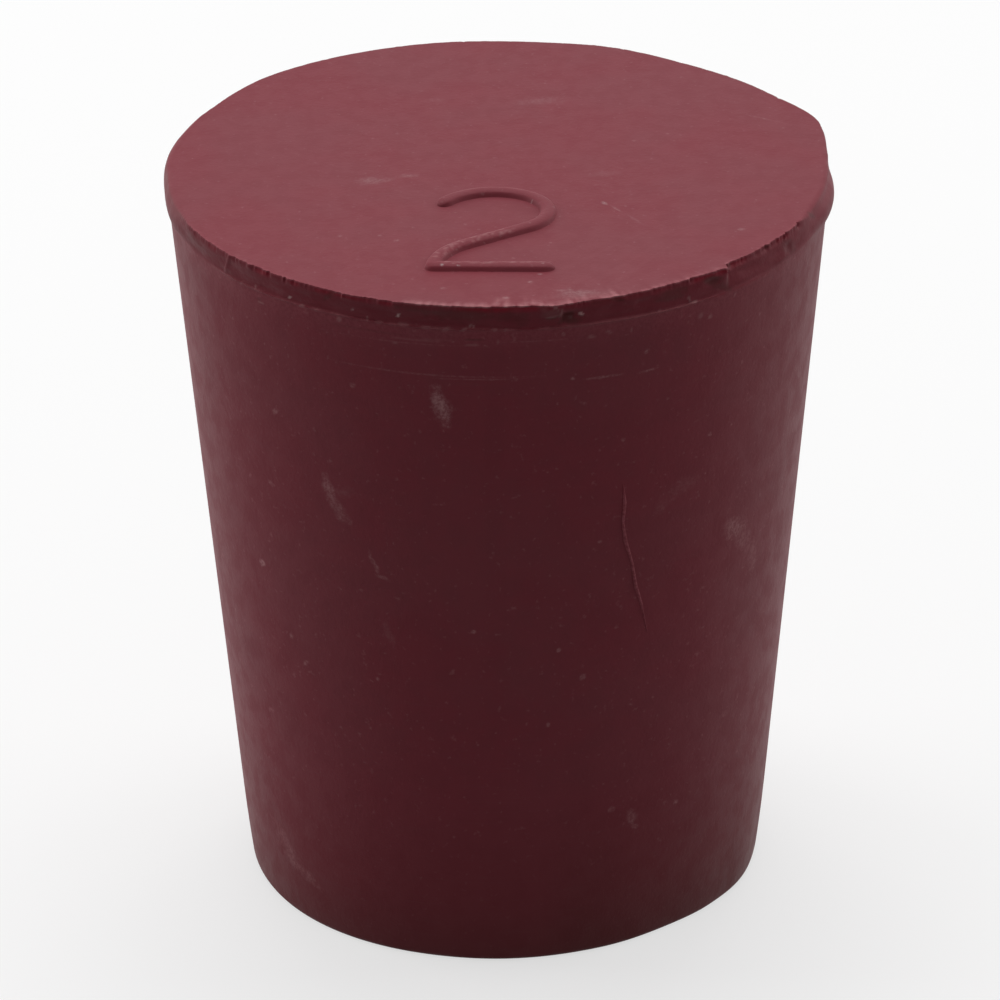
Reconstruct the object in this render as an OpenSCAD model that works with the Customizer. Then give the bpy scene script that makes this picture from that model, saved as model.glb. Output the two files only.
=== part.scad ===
// Solid rubber stopper: one moulded cone with a flat foot, a wide end that was trimmed
// by hand above the mould's parting line, and its size number raised on the top face.
// Millimetres. The axis is +Z, the foot stands on Z = 0, and the number reads upright
// from the -Y side.

/* [Plug] */
// Diameter of the wide end
top_d = 17.5; // [16:0.5:24]
// Diameter of the foot
foot_d = 13.9; // [10:0.1:15]
// Height from the foot to the top face
height = 20; // [14:0.5:30]
// Radius that rounds the foot's edge
foot_edge_r = 0.2; // [0.1:0.05:1]

/* [Trimmed edge] */
// Height of the trimmed band above the parting line
band_h = 0.7; // [0.4:0.05:1.5]
// How far the trimmed edge stands outside the cone
trim_over = 0.03; // [0:0.01:0.2]
// Angle at which the band flares out from the parting line to the trimmed edge
flare_a = 26; // [15:1:40]
// How far the fine ridge along the parting line stands out
seam_out = 0.05; // [0.02:0.01:0.15]
// Width of the ledge between the cone's upper end and the foot of the band's wall
seam_ledge = 0.03; // [0.02:0.01:0.1]

/* [Flash roll] */
// Direction of the roll's middle, from +X
roll_a = -5; // [-180:1:180]
// How far the roll stands out of the cone
roll_out = 0.16; // [0.05:0.01:0.5]
// Height of the roll
roll_h = 1.0; // [0.8:0.05:1.6]
// Length of the roll around the edge
roll_l = 4.2; // [2:0.1:6]
// Depth of the roll's upper side below the top face
roll_drop = 0.06; // [0.02:0.01:0.3]

/* [Size number] */
// Height of the number, between the middles of its strokes
number_h = 4.65; // [2.5:0.05:6]
// Width of the raised stroke
stroke_w = 0.46; // [0.2:0.02:0.8]
// How far the stroke stands out of the top face
stroke_out = 0.19; // [0.1:0.01:0.4]
// Distance from the number's foot to the edge of the top face
number_gap = 2.35; // [1:0.05:4]
// Distance of the number's middle to the side of the axis
number_x = -0.25; // [-2:0.05:2]
// Turn of the number about the vertical
number_turn = -2; // [-20:1:20]

/* [Hidden] */
$fn = 96;

rubber_red = [0.54, 0.30, 0.33];

top_r = top_d / 2;
foot_r = foot_d / 2;
seam_z = height - band_h;
taper_a = atan((top_r - foot_r) / height);

// Marks of the trimming on the edge of the top face. Each is the direction of its
// peak, its reach before and after the peak (degrees), and how far it stands out.
trim_marks = [
    [-115, 7, 43, 0.05],     // swell over the front left
    [-81, 4, 6, 0.09],       // nib at the front
    [-52, 27, 2.5, -0.11],   // cut that ends at a step
    [-47, 2.5, 63, -0.20],   // cut that starts at the step
    [20, 16, 14, 0.24],      // corner between two cuts
    [55, 27, 19, -0.14],     // long cut at the back right
    [83, 18, 23, -0.12],     // cut at the back
    [135, 41, 18, 0.13]      // swell at the back left
];
trim_step = 2.5;             // degrees between points of the trimmed edge

// Parts of the flash roll that are sunk in the wall
roll_root = 3;               // depth of its section, as a multiple of what stands out
roll_root_a = 8;             // turn by which each end runs on inside the wall
arc_steps = 6;               // straight runs in a small rounding, of the foot or the roll

// Shape of the number 2, as shares of its height
crown_share = 0.34;          // radius over the top
side_share = 0.257;          // radius of the right side
sweep_share = 0.40;          // radius into the lower left corner
bar_share = 0.312;           // half of the foot bar
tip_turn = 52;               // where the stroke starts, from upright
crown_turn = 36;             // where the top passes into the side, from upright
slant_a = 35;                // slope of the slanted stroke
crown_steps = 7;             // straight runs over the top
side_steps = 10;             // straight runs around the side
side_turn = 13;              // from the end of the crown to the side's first point
sweep_steps = 5;             // straight runs into the corner
back_steps = 6;              // straight runs over the stroke's round back
end_steps = 3;               // sections in each round end
end_turn = 75;               // how far round each end goes before it is closed
stroke_root = 0.1;           // depth of the stroke's root below the top face

// Radius of the plug's flank at a height
function flank_r(z) = foot_r + z * tan(taper_a);

// Difference of two directions, from -180 to 180
function turn(a, b) = let(d = (a - b) % 360) d > 180 ? d - 360 : d < -180 ? d + 360 : d;

// Smooth bell that is 1 at its peak and 0 at its reach to either side
function bell(d, before, after) =
    let(reach = d < 0 ? before : after)
    abs(d) < reach ? (1 + cos(180 * d / reach)) / 2 : 0;

// Radius of the trimmed edge in a direction
function trim_r(a, i = 0) =
    i == len(trim_marks) ? top_r + trim_over
    : trim_marks[i][3] * bell(turn(a, trim_marks[i][0]), trim_marks[i][1], trim_marks[i][2])
      + trim_r(a, i + 1);

// Points of an arc about a centre, with both ends
function arc(centre, r, from, to, steps) =
    [for (i = [0 : steps]) let(a = from + (to - from) * i / steps)
        centre + r * [cos(a), sin(a)]];

// The moulded cone, from the foot to the fine ridge along the parting line
module plug() {
    edge_x = flank_r(foot_edge_r) - foot_edge_r / cos(taper_a);
    rotate_extrude()
        polygon(concat(
            [[0, 0]],
            arc([edge_x, foot_edge_r], foot_edge_r, -90, -taper_a, arc_steps),
            [
                [flank_r(seam_z - 2 * seam_out), seam_z - 2 * seam_out],
                [flank_r(seam_z) + seam_out, seam_z - seam_out],
                [flank_r(seam_z), seam_z],
                [0, seam_z]
            ]));
}

// The slab above the parting line: its wall flares out until it meets the trimmed edge
module trimmed_band() {
    root_z = seam_z - seam_out;
    slab_h = height - root_z;
    root_r = flank_r(seam_z) - seam_ledge - seam_out * tan(flare_a);
    intersection() {
        translate([0, 0, root_z])
            cylinder(h = slab_h, r1 = root_r, r2 = root_r + slab_h * tan(flare_a));
        translate([0, 0, root_z])
            linear_extrude(slab_h)
                polygon([for (a = [0 : trim_step : 360 - trim_step])
                    trim_r(a) * [cos(a), sin(a)]]);
    }
}

// The roll of flash that the knife missed, which fades into the wall at both ends
module flash_roll() {
    half_h = roll_h / 2;
    roll_z = height - roll_drop - half_h;
    wall_r = flank_r(roll_z);
    // Radius of the roll's outer side that meets the wall at both ends of its length
    outer_r = 1 / (8 * roll_out / pow(roll_l, 2) + 1 / wall_r);
    half_a = asin(roll_l / 2 / outer_r) + roll_root_a;
    depth = roll_root * roll_out;
    rotate([0, 0, roll_a])
        translate([wall_r + roll_out - outer_r, 0, roll_z])
            rotate([0, 0, -half_a])
                rotate_extrude(angle = 2 * half_a)
                    polygon([for (i = [0 : arc_steps]) let(t = -90 + 180 * i / arc_steps)
                        [outer_r - depth * (1 - cos(t)), half_h * sin(t)]]);
}

// Middle line of the number: crown, side, slanted stroke, sweep, corner and foot bar
function number_path() =
    let(
        crown_r = crown_share * number_h,
        side_r = side_share * number_h,
        sweep_r = sweep_share * number_h,
        bar = bar_share * number_h,
        crown_c = [0, number_h - crown_r],
        side_c = crown_c + (crown_r - side_r) * [sin(crown_turn), cos(crown_turn)],
        slant_top = side_c + side_r * [sin(slant_a), -cos(slant_a)],
        slant_low_x = -bar + sweep_r * (1 - sin(slant_a)),
        slant_l = (slant_top[0] - slant_low_x) / cos(slant_a),
        slant_low = slant_top - slant_l * [cos(slant_a), sin(slant_a)],
        sweep_c = slant_low + sweep_r * [sin(slant_a), -cos(slant_a)],
        corner_a = 180 - asin(-sweep_c[1] / sweep_r)
    )
    concat(
        arc(crown_c, crown_r, 90 + tip_turn, 90 - crown_turn, crown_steps),
        arc(side_c, side_r, 90 - crown_turn - side_turn, slant_a - 90, side_steps),
        arc(sweep_c, sweep_r, 90 + slant_a, corner_a, sweep_steps),
        [[bar, 0]]
    );

// Direction from one point to another
function heading(p, q) = atan2(q[1] - p[1], q[0] - p[0]);

// Section of the stroke across the middle line at one point: a round back on a root
// that is sunk in the face. It is turned to halve the bend, and widened to keep the
// stroke's width there. size shrinks it towards the round ends.
function stroke_ring(p, a_in, a_out, size) =
    let(
        bend = turn(a_out, a_in),
        across = a_in + bend / 2 + 90,
        half_w = stroke_w / 2 * size / cos(bend / 2)
    )
    [for (t = [-1 : back_steps + 1])
        let(u = 180 * max(0, min(back_steps, t)) / back_steps, root = t < 0 || t > back_steps)
        [
            p[0] + half_w * cos(u) * cos(across),
            p[1] + half_w * cos(u) * sin(across),
            root ? -stroke_root : stroke_out * size * sin(u)
        ]];

// The raised number on the top face, one stroke from its tip to the end of the foot bar
module size_number() {
    path = number_path();
    last = len(path) - 1;
    start_a = heading(path[0], path[1]);
    end_a = heading(path[last - 1], path[last]);
    rings = concat(
        [for (k = [end_steps : -1 : 1]) let(b = end_turn * k / end_steps)
            stroke_ring(path[0] - stroke_w / 2 * sin(b) * [cos(start_a), sin(start_a)],
                start_a, start_a, cos(b))],
        [for (i = [0 : last])
            stroke_ring(path[i],
                i == 0 ? start_a : heading(path[i - 1], path[i]),
                i == last ? end_a : heading(path[i], path[i + 1]), 1)],
        [for (k = [1 : end_steps]) let(b = end_turn * k / end_steps)
            stroke_ring(path[last] + stroke_w / 2 * sin(b) * [cos(end_a), sin(end_a)],
                end_a, end_a, cos(b))]
    );
    n = len(rings[0]);
    m = len(rings);
    translate([number_x, number_gap - top_r, height])
        rotate([0, 0, number_turn])
            polyhedron(
                points = [for (ring = rings) each ring],
                faces = concat(
                    [[for (j = [0 : n - 1]) j]],
                    [for (i = [0 : m - 2]) for (j = [0 : n - 1]) let(k = (j + 1) % n)
                        [i * n + j, (i + 1) * n + j, (i + 1) * n + k]],
                    [for (i = [0 : m - 2]) for (j = [0 : n - 1]) let(k = (j + 1) % n)
                        [i * n + j, (i + 1) * n + k, i * n + k]],
                    [[for (j = [n - 1 : -1 : 0]) (m - 1) * n + j]]
                ));
}

// The whole stopper, moulded as one solid
module stopper() {
    color(rubber_red)
    union() {
        plug();
        trimmed_band();
        flash_roll();
        size_number();
    }
}

stopper();
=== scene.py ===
import math

import bpy
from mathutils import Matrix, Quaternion, Vector, noise


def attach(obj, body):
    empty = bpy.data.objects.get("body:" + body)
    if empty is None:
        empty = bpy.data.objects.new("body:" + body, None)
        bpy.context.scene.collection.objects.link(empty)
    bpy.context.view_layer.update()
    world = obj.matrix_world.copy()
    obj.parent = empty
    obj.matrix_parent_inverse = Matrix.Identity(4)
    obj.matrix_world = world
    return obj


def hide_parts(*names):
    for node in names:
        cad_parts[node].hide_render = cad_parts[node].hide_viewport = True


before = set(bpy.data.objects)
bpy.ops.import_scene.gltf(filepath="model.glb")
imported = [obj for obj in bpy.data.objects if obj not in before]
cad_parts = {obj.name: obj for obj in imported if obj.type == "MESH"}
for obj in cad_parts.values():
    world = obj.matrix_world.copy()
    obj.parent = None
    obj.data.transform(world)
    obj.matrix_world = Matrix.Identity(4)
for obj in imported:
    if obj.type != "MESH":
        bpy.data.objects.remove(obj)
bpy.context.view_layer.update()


# ---------------------------------------------------------------------------
# The plug: one tapered body of red laboratory rubber, pressed in a steel mould.
# The mould parts close below the wide end, and what is squeezed out above that
# line is cut away by hand, which leaves a rough band under the upper edge.

# Sizes are in millimetres, and mm turns them to metres. Directions are in degrees from +X.
mm = 0.001
height = 20.0
top_r = 8.75
foot_r = 6.95
taper = math.atan((top_r - foot_r) / height)

# The foot's edge is rounded, and the cone is drawn in a little towards it.
foot_edge_r = 0.2
foot_edge_in = 0.04
foot_draw = 0.05
foot_draw_h = 2.0

# The ridge along the parting line, how far inside it the band's wall starts, the height at
# which the band ends, and the width of the rounded lip over it.
seam_z = 19.32
seam_out = 0.022
seam_half_h = 0.018
root_in = 0.03
edge_z = 19.90
lip_w = 0.1


def flank_r(z):
    """Radius of the moulded flank at a height."""
    return foot_r + z * math.tan(taper)


# Rings of the body as radius and height: foot, flank, parting line, band, lip, face. They
# are far finer above the flank, where the edge was worked.
points_around = 1152
rings = []
foot_steps = 8
edge_x = flank_r(foot_edge_r) - foot_edge_r / math.cos(taper) - foot_edge_in
for step in range(foot_steps + 1):
    turn = -math.pi / 2 + (math.pi / 2 - taper) * step / foot_steps
    ring_r = edge_x + foot_edge_r * math.cos(turn)
    rings.append((ring_r, foot_edge_r + foot_edge_r * math.sin(turn)))
for z in (0.5, 0.9, 1.4, 2.0, 5.0, 8.0, 11.0, 14.0, 16.5, 18.3):
    rings.append((flank_r(z) - foot_draw * max(0.0, 1 - z / foot_draw_h) ** 2, z))
fine_z = 18.5
fine_steps = 15
for step in range(fine_steps + 1):
    z = fine_z + (seam_z - 2 * seam_half_h - fine_z) * step / fine_steps
    rings.append((flank_r(z), z))
rings.append((flank_r(seam_z) + seam_out, seam_z - seam_half_h))
rings.append((flank_r(seam_z), seam_z))
band_steps = 13
for step in range(1, band_steps + 1):
    rings.append((top_r, seam_z + (edge_z - seam_z) * step / band_steps))
lip_steps = 5
for step in range(1, lip_steps + 1):
    turn = math.pi / 2 * step / lip_steps
    lip_z = edge_z + (height - edge_z) * math.sin(turn)
    rings.append((top_r - lip_w * (1 - math.cos(turn)), lip_z))
for inner in (0.04, 0.08, 0.13, 0.19, 0.26, 0.34, 0.43, 0.55, 0.70):
    rings.append((top_r - lip_w - inner, height))

bpy.ops.object.select_all(action="DESELECT")
bpy.ops.mesh.primitive_circle_add(
    vertices=points_around, radius=rings[0][0] * mm, fill_type="NGON", location=(0, 0, 0)
)
stopper = bpy.context.active_object
stopper.name = "rubber_stopper"
bpy.ops.object.mode_set(mode="EDIT")
bpy.ops.mesh.select_all(action="SELECT")
for (old_r, old_z), (ring_r, z) in zip(rings, rings[1:]):
    bpy.ops.mesh.extrude_region_move(
        TRANSFORM_OT_translate={"value": (0, 0, (z - old_z) * mm)}
    )
    bpy.ops.transform.resize(
        value=(ring_r / old_r, ring_r / old_r, 1), center_override=(0, 0, z * mm)
    )
bpy.ops.mesh.select_all(action="SELECT")
bpy.ops.mesh.normals_make_consistent(inside=False)
bpy.ops.object.mode_set(mode="OBJECT")

# Long cuts of the knife along the upper edge: direction of the peak, reach before and
# after it in degrees, and how far the edge stands out there in millimetres.
trim_marks = (
    (-115, 7, 43, 0.05),
    (-81, 4, 6, 0.09),
    (-54, 25, 9, -0.10),
    (-47, 1.2, 63, -0.20),
    (20, 16, 14, 0.24),
    (55, 27, 19, -0.14),
    (83, 18, 23, -0.12),
    (135, 41, 18, 0.13),
)
# How far the trimmed edge stands outside the cone, and wide stretches where it stands out
# more: start, end, blend past both ends, and how far.
trim_over = 0.03
edge_swells = (
    (20, 104, 12, 0.050),
    (62, 98, 8, 0.020),
    (114, 134, 8, 0.028),
    (164, 196, 14, 0.035),
    (165, 171, 13, 0.115),
)
# Nicks and nibs that the blade left on the edge itself, given as the long cuts are.
nicks = (
    (-137.1, 0.4, 0.4, 0.020),
    (-134.2, 1.6, 1.0, -0.047),
    (-131.6, 0.5, 0.4, 0.016),
    (-128.7, 0.3, 0.4, -0.041),
    (-126.9, 0.5, 0.5, -0.024),
    (-121.2, 0.4, 0.5, 0.020),
    (-118.9, 0.8, 0.5, -0.020),
    (-116.9, 0.3, 0.4, 0.030),
    (-113.0, 1.0, 0.6, -0.020),
    (-110.5, 0.3, 0.3, 0.020),
    (-109.1, 0.4, 0.4, -0.027),
    (-107.7, 0.3, 0.3, 0.038),
    (-107.1, 0.2, 0.3, 0.027),
    (-99.8, 0.3, 0.3, -0.020),
    (-87.0, 0.5, 0.5, -0.020),
    (-81.5, 0.5, 0.5, 0.016),
    (-76.9, 0.3, 0.4, -0.027),
    (-76.0, 0.3, 0.4, -0.030),
    (-74.0, 0.8, 0.5, -0.016),
    (-70.2, 0.5, 0.6, -0.032),
    (-68.9, 0.3, 0.4, 0.020),
    (-57.4, 0.5, 0.4, -0.019),
    (-56.1, 0.4, 0.5, 0.024),
    (-52.0, 0.8, 0.6, -0.016),
    (-48.3, 0.6, 0.5, 0.060),
    (-47.6, 0.3, 0.3, -0.055),
    (-46.9, 0.5, 0.6, 0.030),
    (-45.9, 0.3, 0.5, -0.020),
    (-37.3, 0.3, 0.3, 0.027),
    (-36.7, 0.3, 0.3, -0.038),
    (-36.1, 0.3, 0.4, 0.034),
    (-33.5, 0.5, 0.5, -0.020),
    (-31.0, 0.3, 0.4, 0.038),
    (-30.2, 0.4, 0.4, -0.027),
    (-28.4, 0.5, 0.4, 0.024),
    (-25.6, 0.4, 0.6, -0.027),
    (31.0, 0.6, 0.5, -0.030),
    (44.5, 0.5, 0.8, 0.020),
    (67.0, 0.5, 0.4, -0.030),
    (72.5, 0.7, 0.5, 0.025),
    (96.0, 0.5, 0.6, -0.030),
    (108.0, 0.6, 0.5, 0.020),
    (121.5, 0.5, 0.7, -0.020),
)
# Torn places in the band: direction, reach before and after it in degrees, height of the
# middle, half height, and how far the place stands out.
tears = (
    (-78.9, 0.8, 3.0, 19.58, 0.26, -0.16),
    (-79.9, 0.5, 0.5, 19.74, 0.24, 0.05),
    (-81.2, 1.8, 1.3, 19.65, 0.05, 0.035),
    (-76.4, 0.6, 0.9, 19.63, 0.05, 0.06),
    (-73.5, 1.5, 1.5, 19.88, 0.12, -0.035),
    (-66.0, 1.0, 4.0, 19.66, 0.22, -0.025),
    (-51.4, 2.0, 2.6, 19.74, 0.18, -0.060),
    (-56.0, 0.4, 1.6, 19.36, 0.10, 0.035),
    (-43.0, 2.5, 5.0, 19.62, 0.22, -0.020),
    (-30.3, 1.6, 1.6, 19.60, 0.22, -0.035),
    (-19.0, 2.0, 2.4, 19.88, 0.14, -0.030),
    (38.0, 0.8, 7.0, 19.60, 0.24, -0.060),
    (62.0, 6.0, 0.9, 19.62, 0.24, -0.060),
    (90.0, 0.8, 8.0, 19.58, 0.26, -0.070),
    (104.0, 1.0, 1.0, 19.62, 0.26, 0.040),
    (128.0, 5.0, 0.9, 19.60, 0.24, -0.060),
)
# The foot is a little out of round, given as the long cuts are, and less so further up.
foot_marks = (
    (-128, 52, 62, 0.155),
    (-88, 22, 22, 0.040),
    (-51, 18, 15, -0.068),
    (-24, 14, 16, 0.060),
)
# The height at which it is round again.
foot_marks_h = 5.0


def clipped(value):
    """A value kept between 0 and 1."""
    return min(1.0, max(0.0, value))


def bell(offset, before, after):
    """Smooth bell that is 1 at its peak and 0 at its reach to either side."""
    reach = before if offset < 0 else after
    if abs(offset) >= reach:
        return 0.0
    return (1 + math.cos(math.pi * offset / reach)) / 2


def turn_from(direction, peak):
    """Difference of two directions in degrees, from -180 to 180."""
    return (direction - peak + 180) % 360 - 180


def between(direction, start, end, blend):
    """1 in a stretch of the edge, fading to 0 over a few degrees past its ends."""
    away = abs(turn_from(direction, (start + end) / 2)) - (end - start) / 2
    share = clipped(1 - away / blend)
    return share * share * (3 - 2 * share)


def on_roll(direction):
    """1 along the roll of flash, where the knife missed the band."""
    return between(direction, -20, 13, 6)


def cut_here(direction):
    """How much of the band is cut: not on the soft lip at the left nor on the roll."""
    return (1 - between(direction, 162, 195, 9)) * (1 - on_roll(direction))


def crisp_seam(direction):
    """How sharp the parting line is where the band is cut: less at the left and right."""
    return 1 - 0.8 * between(direction, 190, 213, 6) - 0.85 * between(direction, -49, 5, 4)


def rounded_side(direction):
    """How far the band rounds in towards the upper edge, on the soft lip and the roll."""
    return 0.10 * between(direction, 164, 197, 9) + 0.05 * between(direction, -18, 2, 4)


def knife_start(z):
    """Direction in which the knife went in at the left, where it left a slanting step."""
    return -144.6 + 3.7 * (z - seam_z)


def flap_start(z):
    """Direction of the torn flap beside the step in the upper edge."""
    return -48.3 + 8.0 * (height - z)


def trimmed_r(direction):
    """Radius of the upper edge in a direction."""
    edge = top_r + trim_over
    for start, end, blend, out in edge_swells:
        edge += out * between(direction, start, end, blend)
    for peak, before, after, out in trim_marks:
        edge += out * bell(turn_from(direction, peak), before, after)
    return edge


def ragged_r(direction):
    """What the nicks, nibs and fine fray add to the upper edge."""
    fray = 0.0
    for peak, before, after, out in nicks:
        fray += out * bell(turn_from(direction, peak), before, after)
    along = math.radians(direction) * top_r
    frayed = 1 - 0.7 * between(direction, 15, 160, 10)
    fray -= 0.055 * frayed * abs(noise.noise(Vector((along * 2.2, 0, 0))))
    fray -= 0.060 * frayed * abs(noise.noise(Vector((along * 7.0, 5, 0))))
    return fray * cut_here(direction)


# Where the torn flap starts, how far it stands out, and how rough the blade left the wall.
flap_z = 19.76
flap_out = 0.06
drag_out = 0.022


def torn_r(direction, z):
    """What the torn places and the drag of the blade add to the band's wall."""
    torn = 0.0
    for peak, before, after, middle, half_h, out in tears:
        beside = bell(turn_from(direction, peak), before, after)
        torn += out * beside * bell(z - middle, half_h, half_h)
    flap = bell(turn_from(direction, flap_start(z)), 0.5, 0.4)
    torn += flap_out * flap * clipped((z - flap_z) / 0.05)
    along = math.radians(direction) * top_r
    drag = noise.fractal(Vector((along * 0.9, z * 4.0, 3)), 1.0, 2.0, 4)
    return (torn + drag_out * drag) * cut_here(direction)


# The roll of flash: the direction of its middle, how far it stands out, the depth of its
# section as a multiple of that, half its height, half its length, how far it lies below
# the top face, and the height of its middle.
roll_a = -5.0
roll_out = 0.153
roll_root = 3
roll_half_h = 0.5
roll_half_l = 2.1
roll_drop = 0.06
roll_z = height - roll_drop - roll_half_h


def roll_r(direction, z):
    """Radius of the roll of flash that the knife missed."""
    along = math.radians(turn_from(direction, roll_a)) * top_r / roll_half_l
    up = (z - roll_z) / roll_half_h
    if abs(up) >= 1 or abs(along) > 2:
        return 0.0
    out = roll_out * (1 - along * along)
    out -= roll_root * roll_out * (1 - math.sqrt(1 - up * up))
    return flank_r(roll_z) + out


def join_smoothly(low, high, blend):
    """The larger of two radii, with a small fillet where they are alike."""
    return (low + high + math.sqrt((low - high) ** 2 + blend * blend)) / 2


def foot_out(direction, z):
    """How far the foot stands out of round in a direction, which fades with the height."""
    foot = 0.0
    for peak, before, after, out in foot_marks:
        foot += out * bell(turn_from(direction, peak), before, after)
    return foot * (1 - max(0.0, z) / foot_marks_h)


# How the wall of the band flares with its height, where it is left soft and where it is
# cut, and the shares of its height from which it rounds in and from which it is ragged.
soft_lean = 0.22
cut_lean = 1.40
round_from = 0.35
ragged_from = 0.88
# How far the knife's step stands out, how far the lip draws in where it is left soft and
# where it is cut, and the fillet at the roll.
knife_step = 0.028
soft_lip_in = 0.16
cut_lip_in = 0.01
roll_fillet = 0.04
# Nothing below this height was worked, and heights less than a hair apart are the same.
worked_z = 18.7
hair = 0.001

for corner in stopper.data.vertices:
    x, y, z = corner.co / mm
    ring_r = math.hypot(x, y)
    direction = math.degrees(math.atan2(y, x))
    if z < foot_marks_h:
        out_of_round = 1 + foot_out(direction, z) / ring_r
        corner.co.x *= out_of_round
        corner.co.y *= out_of_round
    if z < worked_z:
        continue
    cut = cut_here(direction)
    crisp = cut * crisp_seam(direction)
    wall_r = ring_r
    if z < seam_z - hair:
        # The ridge keeps an uneven part of its height, and none where the seam is soft.
        ridge = ring_r - flank_r(z)
        if ridge > seam_out / 2:
            along = math.radians(direction) * top_r
            rise = abs(noise.noise(Vector((along * 1.6, 9, 0))))
            wall_r -= ridge * (1 - crisp * (0.35 + 0.9 * rise))
    elif z < seam_z + hair:
        wall_r -= root_in * crisp
    else:
        root_r = flank_r(seam_z) - root_in * crisp
        share = min(1.0, (z - seam_z) / (edge_z - seam_z))
        lean = soft_lean + (cut_lean - soft_lean) * cut
        wall_r = root_r + share**lean * (trimmed_r(direction) - root_r)
        # The torn places end just under the upper edge.
        wall_r += torn_r(direction, z) * (1 - share**6)
        wall_r += knife_step * bell(turn_from(direction, knife_start(z)), 0.4, 1.0)
        rounding = max(0.0, (share - round_from) / (1 - round_from)) ** 2
        wall_r -= rounded_side(direction) * rounding
        if share > ragged_from:
            wall_r += ragged_r(direction) * (share - ragged_from) / (1 - ragged_from)
        if z > edge_z + hair:
            lip_in = soft_lip_in + (cut_lip_in - soft_lip_in) * cut
            wall_r -= lip_in * min(1.0, (top_r - ring_r) / lip_w)
            wall_r -= max(0.0, top_r - lip_w - ring_r)
    wall_r = join_smoothly(wall_r, roll_r(direction, z), roll_fillet)
    corner.co.x *= wall_r / ring_r
    corner.co.y *= wall_r / ring_r


# ---------------------------------------------------------------------------
# The size number: a 2 that was engraved in the mould, so it stands on the top
# face as a rounded bead. It is one continuous stroke and a straight foot bar.

# Its height between the middles of its strokes, its place and its turn. The radii and the
# half length of the bar are shares of its height.
number_h = 4.74
number_at = (-0.25, 2.35 - top_r, height)
number_turn = math.radians(-2)
crown_r = 0.334 * number_h
side_r = 0.252 * number_h
sweep_r = 0.392 * number_h
bar = 0.306 * number_h
# How far before upright the crown starts, how far past upright it passes into the side, and
# the slope of the slanted stroke.
tip_turn = math.radians(52)
crown_turn = math.radians(36)
slant_a = math.radians(35)
# Half width and height of the bead, and how long its ends and its corner are.
stroke_half_w = 0.215
stroke_out = 0.165
end_reach = 0.30
corner_reach = 0.21

crown_c = (0.0, number_h - crown_r)
side_c = (
    crown_c[0] + (crown_r - side_r) * math.sin(crown_turn),
    crown_c[1] + (crown_r - side_r) * math.cos(crown_turn),
)
slant_top = (
    side_c[0] + side_r * math.sin(slant_a),
    side_c[1] - side_r * math.cos(slant_a),
)
slant_low_x = -bar + sweep_r * (1 - math.sin(slant_a))
slant_l = (slant_top[0] - slant_low_x) / math.cos(slant_a)
slant_low = (slant_low_x, slant_top[1] - slant_l * math.sin(slant_a))
sweep_c = (
    slant_low[0] + sweep_r * math.sin(slant_a),
    slant_low[1] - sweep_r * math.cos(slant_a),
)
corner_a = math.pi - math.asin(-sweep_c[1] / sweep_r)


def on_top(point, up=0.0):
    """A point of the number's own plan, as a place on the top face in metres."""
    x, y = point
    return (
        (number_at[0] + x * math.cos(number_turn) - y * math.sin(number_turn)) * mm,
        (number_at[1] + x * math.sin(number_turn) + y * math.cos(number_turn)) * mm,
        (number_at[2] + up) * mm,
    )


# Section of the bead: across the stroke and up, as shares of its half width and height.
# Its flanks are steep and straight, its back is round, and its root is sunk in the face.
bead = [(1.10, -0.16), (1.00, 0.10), (0.90, 0.44)]
for step in range(7):
    turn = math.radians(35 + 55 * step / 6)
    bead.append((0.98 * math.cos(turn) if step < 6 else 0.0, 0.30 + 0.70 * math.sin(turn)))
bead += [(-across, up) for across, up in reversed(bead[:-1])]
bead += [(-1.10, -0.5), (1.10, -0.5)]


def arc_point(centre, r, turn):
    """Point at a distance from a centre, in the number's own plan."""
    return (centre[0] + r * math.cos(turn), centre[1] + r * math.sin(turn))


def set_section(name, point, heading, turn, reach):
    """The first, small section of a stroke: a ring that stands across its round end."""
    bpy.ops.object.select_all(action="DESELECT")
    bpy.ops.mesh.primitive_circle_add(vertices=len(bead), radius=mm, fill_type="NGON")
    ring = bpy.context.active_object
    ring.name = name
    size = math.cos(math.radians(turn))
    start = arc_point(point, reach * math.sin(math.radians(turn)), heading)
    for corner, (across, up) in zip(ring.data.vertices, bead):
        place = arc_point(start, across * size * stroke_half_w, heading - math.pi / 2)
        corner.co = on_top(place, up * size * stroke_out)
    bpy.ops.object.mode_set(mode="EDIT")
    bpy.ops.mesh.select_all(action="SELECT")
    return ring


def close_stroke():
    """Ends the modelling of a stroke with its faces pointing outwards."""
    bpy.ops.mesh.select_all(action="SELECT")
    bpy.ops.mesh.normals_make_consistent(inside=False)
    bpy.ops.object.mode_set(mode="OBJECT")


def round_end(point, heading, turns, reach):
    """Runs the selected section on through a round end of the stroke."""
    for old_turn, new_turn in zip(turns, turns[1:]):
        old = on_top(arc_point(point, reach * math.sin(math.radians(old_turn)), heading))
        new = on_top(arc_point(point, reach * math.sin(math.radians(new_turn)), heading))
        shift = [n - o for n, o in zip(new, old)]
        bpy.ops.mesh.extrude_region_move(TRANSFORM_OT_translate={"value": shift})
        grow = math.cos(math.radians(new_turn)) / math.cos(math.radians(old_turn))
        bpy.ops.transform.resize(value=(grow, grow, grow), center_override=new)


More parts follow.
